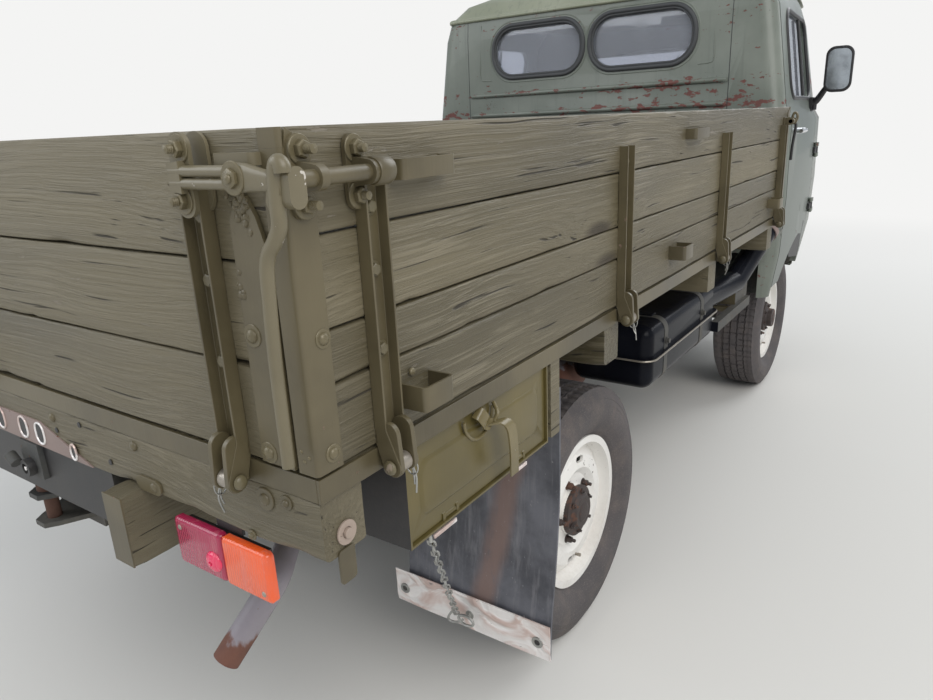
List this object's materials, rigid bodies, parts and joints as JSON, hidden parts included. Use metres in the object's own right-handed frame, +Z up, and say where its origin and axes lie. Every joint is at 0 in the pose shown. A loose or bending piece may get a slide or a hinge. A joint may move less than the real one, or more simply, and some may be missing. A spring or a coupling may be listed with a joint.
{
  "type": "military drop-side cargo truck",
  "caption": "Forward-control four-wheel-drive cargo truck with a wooden drop-side bed, steel cab, hinged doors, steered front wheels and a side toolbox.",
  "frame": {"origin": "on the ground under the middle of the overall length, on the centre plane", "axes": "+X forward, +Y to the left, +Z up"},
  "size_m": [4.46, 2.116, 2.07],
  "materials": {
    "chassis_paint": "dusty satin paint",
    "rusty_steel": "rusted bare steel",
    "cast_block": "dull cast iron",
    "tank_paint": "gloss black paint",
    "exhaust_steel": "scaled paint over rusty steel",
    "box_paint": "semi-gloss olive paint",
    "flap_rubber": "scuffed rubber sheet",
    "painted_wood": "weathered olive paint over pine",
    "olive_steel": "brushed-on olive paint",
    "lamp_plastic": "moulded lens",
    "cab_paint": "faded olive paint",
    "glass": "clear",
    "seat_cover": "grained artificial leather",
    "bumper_paint": "satin olive paint",
    "lamp_chrome": "polished ring and reflector",
    "tyre": "dusty rubber",
    "rim_paint": "white paint, worn",
    "chain_steel": "zinc-plated wire",
    "mirror_black": "moulded black",
    "wheel_plastic": "smooth black"
  },
  "bodies": {
    "chassis": {"frame": "chassis_paint", "tow_fork": "chassis_paint", "tow_pin": "rusty_steel", "rear_axle": "chassis_paint", "front_axle": "chassis_paint", "leaf_springs": "chassis_paint", "prop_shafts": "chassis_paint", "engine_block": "cast_block", "fuel_tanks": "tank_paint", "exhaust": "exhaust_steel", "toolbox": "box_paint", "mudflaps": "flap_rubber", "bed_floor": "painted_wood", "bed_beams": "painted_wood", "bed_rails": "olive_steel", "front_board": "painted_wood", "rear_lamps": "lamp_plastic", "cab_roof": "cab_paint", "cab_rear_wall": "cab_paint", "cab_nose": "cab_paint", "cab_floor": "cab_paint", "cab_arches": "cab_paint", "flap_chain": "chain_steel", "cab_glass": "glass", "dashboard": "cab_paint", "seat_frames": "cab_paint", "seat_cushions": "seat_cover", "bumper": "bumper_paint", "front_lamps": "lamp_chrome", "grille": "bumper_paint"},
    "steer_left": {"knuckle_left": "chassis_paint"},
    "steer_right": {"knuckle_right": "chassis_paint"},
    "door_body_left": {"door_left": "cab_paint", "door_glass_left": "glass", "mirror_left": "mirror_black"},
    "door_body_right": {"door_right": "cab_paint", "door_glass_right": "glass", "mirror_right": "mirror_black"},
    "side_left": {"side_boards_left": "painted_wood", "side_straps_left": "olive_steel"},
    "side_right": {"side_boards_right": "painted_wood", "side_straps_right": "olive_steel"},
    "tailgate": {"tailgate_boards": "painted_wood", "tailgate_straps": "olive_steel"},
    "lid": {"toolbox_lid": "box_paint"},
    "hand_wheel": {"steering_wheel": "wheel_plastic"},
    "wheel_front_left": {"tyre_front_left": "tyre", "rim_front_left": "rim_paint"},
    "wheel_front_right": {"tyre_front_right": "tyre", "rim_front_right": "rim_paint"},
    "wheel_rear_left": {"tyre_rear_left": "tyre", "rim_rear_left": "rim_paint"},
    "wheel_rear_right": {"tyre_rear_right": "tyre", "rim_rear_right": "rim_paint"}
  },
  "joints": [
    {"name": "spin_front_left", "type": "hinge", "parent": "steer_left", "child": "wheel_front_left", "pos_m": [1.212, 0.7225, 0.362], "axis": [0, 1, 0], "continuous": true},
    {"name": "spin_front_right", "type": "hinge", "parent": "steer_right", "child": "wheel_front_right", "pos_m": [1.212, -0.7225, 0.362], "axis": [0, 1, 0], "continuous": true},
    {"name": "spin_rear_left", "type": "hinge", "parent": "chassis", "child": "wheel_rear_left", "pos_m": [-1.088, 0.7225, 0.362], "axis": [0, 1, 0], "continuous": true},
    {"name": "spin_rear_right", "type": "hinge", "parent": "chassis", "child": "wheel_rear_right", "pos_m": [-1.088, -0.7225, 0.362], "axis": [0, 1, 0], "continuous": true},
    {"name": "steering", "type": "hinge", "parent": "chassis", "child": "steer_left", "pos_m": [1.212, 0.612, 0.362], "axis": [0, 0, 1], "range_deg": [-27, 27]},
    {"name": "steering_right", "type": "hinge", "parent": "chassis", "child": "steer_right", "pos_m": [1.212, -0.612, 0.362], "axis": [0, 0, 1], "range_deg": [-27, 27]},
    {"name": "steering_wheel_turn", "type": "hinge", "parent": "chassis", "child": "hand_wheel", "pos_m": [1.582, 0.52, 1.33], "axis": [-0.4708, 0, 0.8823], "range_deg": [-432, 432]},
    {"name": "door_swing_left", "type": "hinge", "parent": "chassis", "child": "door_body_left", "pos_m": [1.5575, 0.90625, 1.3], "axis": [0, 0, -1], "range_deg": [0, 70]},
    {"name": "door_swing_right", "type": "hinge", "parent": "chassis", "child": "door_body_right", "pos_m": [1.5575, -0.90625, 1.3], "axis": [0, 0, 1], "range_deg": [0, 70]},
    {"name": "side_drop_left", "type": "hinge", "parent": "chassis", "child": "side_left", "pos_m": [0, 0.991, 0.988], "axis": [-1, 0, 0], "range_deg": [0, 180]},
    {"name": "side_drop_right", "type": "hinge", "parent": "chassis", "child": "side_right", "pos_m": [0, -0.991, 0.988], "axis": [1, 0, 0], "range_deg": [0, 180]},
    {"name": "tailgate_drop", "type": "hinge", "parent": "chassis", "child": "tailgate", "pos_m": [-2.201, 0, 0.988], "axis": [0, -1, 0], "range_deg": [0, 180]},
    {"name": "toolbox_lid_swing", "type": "hinge", "parent": "chassis", "child": "lid", "pos_m": [-1.7825, -0.95, 0.822], "axis": [-1, 0, 0], "range_deg": [-100, 0]}
  ],
  "couplings": [
    {"joint": "steering_right", "follows": "steering", "ratio": 1},
    {"joint": "steering_wheel_turn", "follows": "steering", "ratio": 16}
  ]
}
